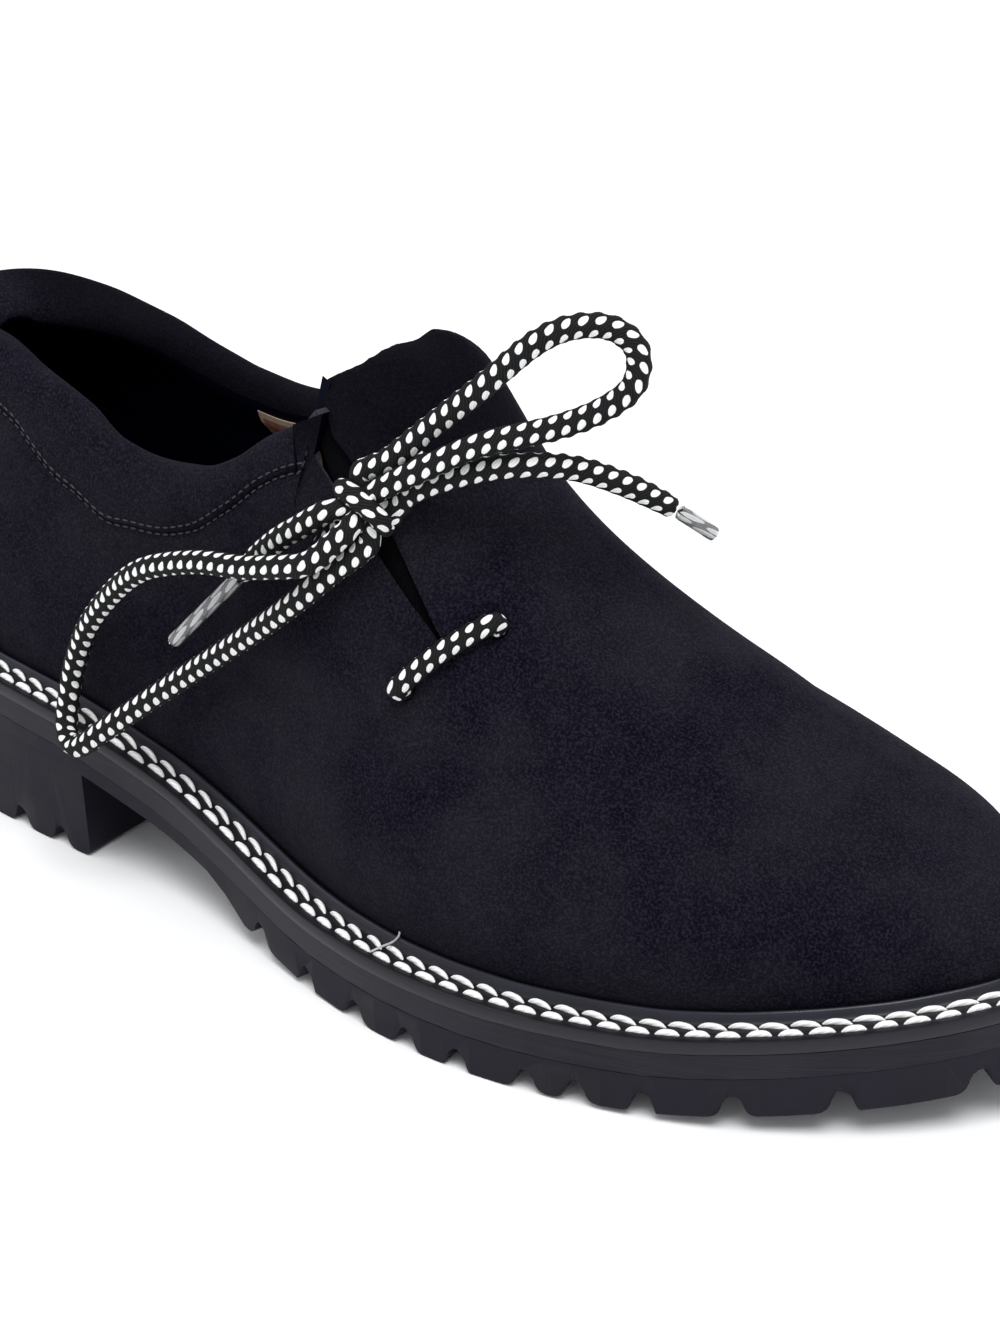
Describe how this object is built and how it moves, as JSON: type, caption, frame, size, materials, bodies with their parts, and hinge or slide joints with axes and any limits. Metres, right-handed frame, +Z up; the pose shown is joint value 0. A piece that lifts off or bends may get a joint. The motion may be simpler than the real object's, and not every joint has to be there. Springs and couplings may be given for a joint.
{
  "type": "folk shoe",
  "caption": "Right folk shoe in black suede, laced at its outer side, with a padded collar, a white-stitched welt, a dotted round lace and a lugged rubber sole with a heel",
  "frame": {"origin": "middle of the box of the sole, on the floor it stands on", "axes": "+X from the heel to the toe, +Y to the inner side of the foot, +Z up"},
  "size_m": [0.306, 0.108, 0.1403],
  "materials": {
    "suede": "napped matte",
    "padded_suede": "napped matte",
    "lining": "matte",
    "label": "satin",
    "welt": "semi-gloss",
    "midsole": "satin",
    "rubber": "satin",
    "lace": "woven",
    "aglet": "clear"
  },
  "bodies": {
    "root": {"upper": "suede", "collar": "padded_suede", "tongue": "lining", "insole": "lining", "inner_label": "label", "welt": "welt", "midsole": "midsole", "outsole": "rubber", "heel": "rubber", "lace_bars": "lace", "lace_knot": "lace", "lace_loop_left": "lace", "lace_loop_right": "lace", "lace_end_left": "lace", "lace_end_right": "lace", "aglet_left": "aglet", "aglet_right": "aglet"}
  },
  "joints": []
}
